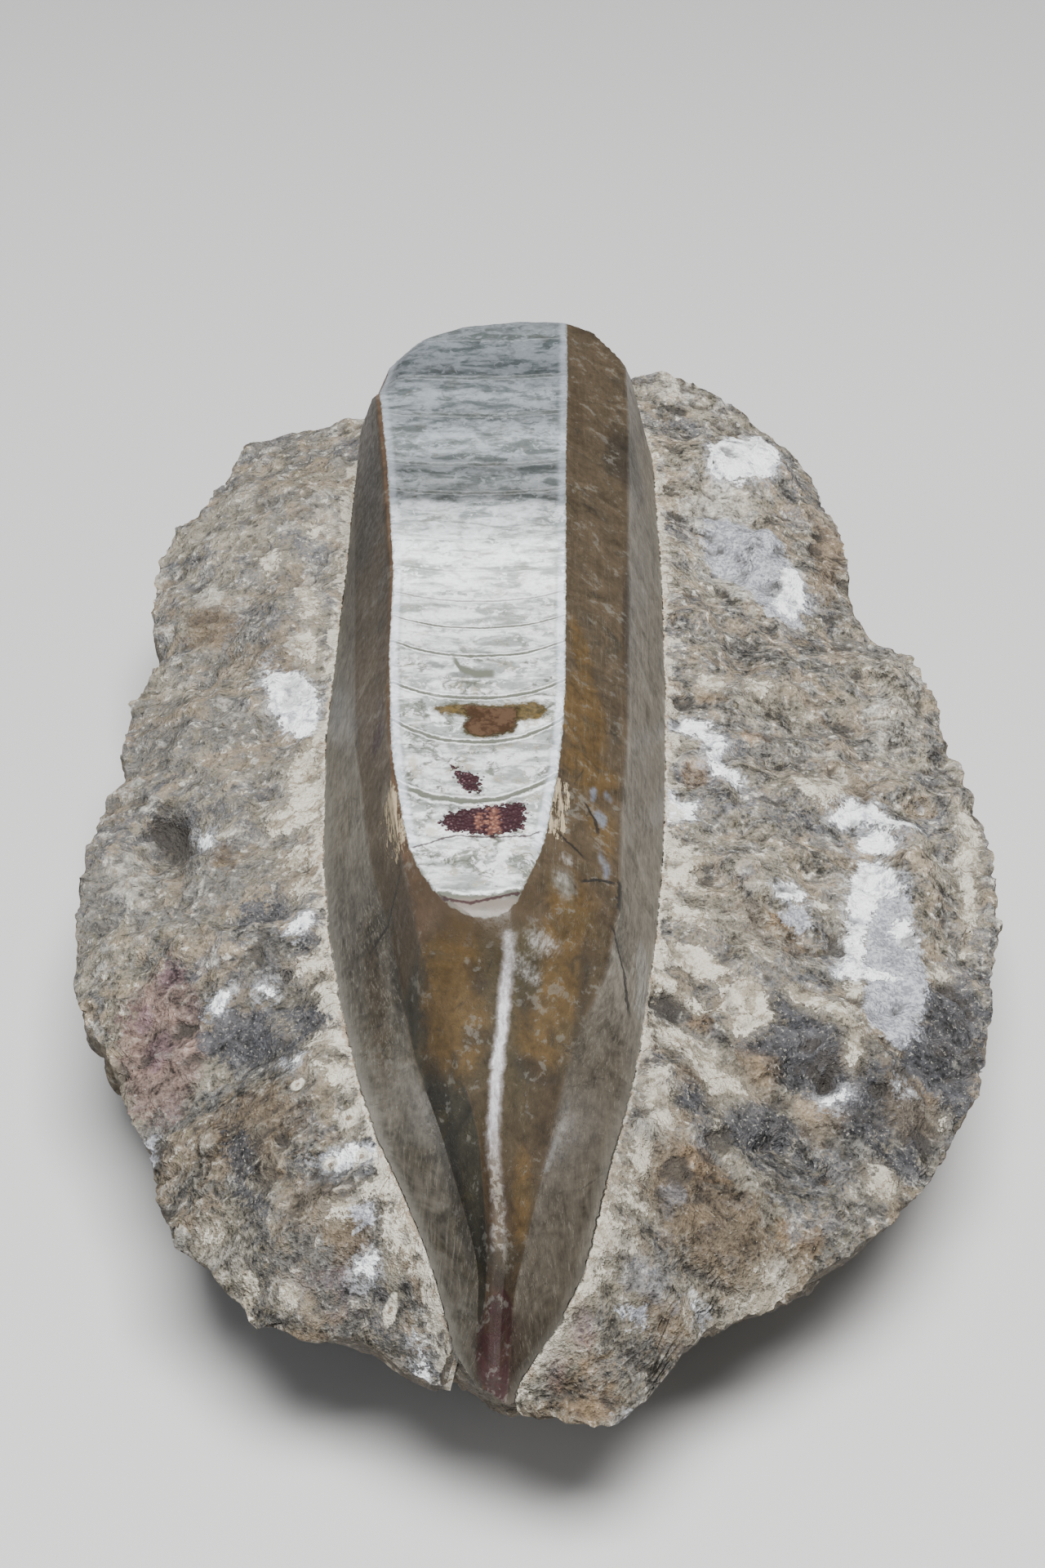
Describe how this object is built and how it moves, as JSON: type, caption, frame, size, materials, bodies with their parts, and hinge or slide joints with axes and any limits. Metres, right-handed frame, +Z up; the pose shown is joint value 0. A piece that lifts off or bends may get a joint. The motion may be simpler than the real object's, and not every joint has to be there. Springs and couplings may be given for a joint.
{
  "type": "polished fossil in rock matrix",
  "caption": "Straight-shelled orthoceras fossil ground and polished in relief along the middle of its rough limestone slab, with a flat base to rest on.",
  "frame": {"origin": "centre of the slab's footprint, on the surface that it rests on", "axes": "+X across the slab, +Y along the fossil from its pointed front tip to its far end, +Z up, out of the polished face"},
  "size_m": [0.1142, 0.1988, 0.0514],
  "materials": {
    "stone": "rough broken limestone, semi-gloss polish on the fossil ridge"
  },
  "bodies": {
    "root": {"fossil_stone": "stone"}
  },
  "joints": []
}
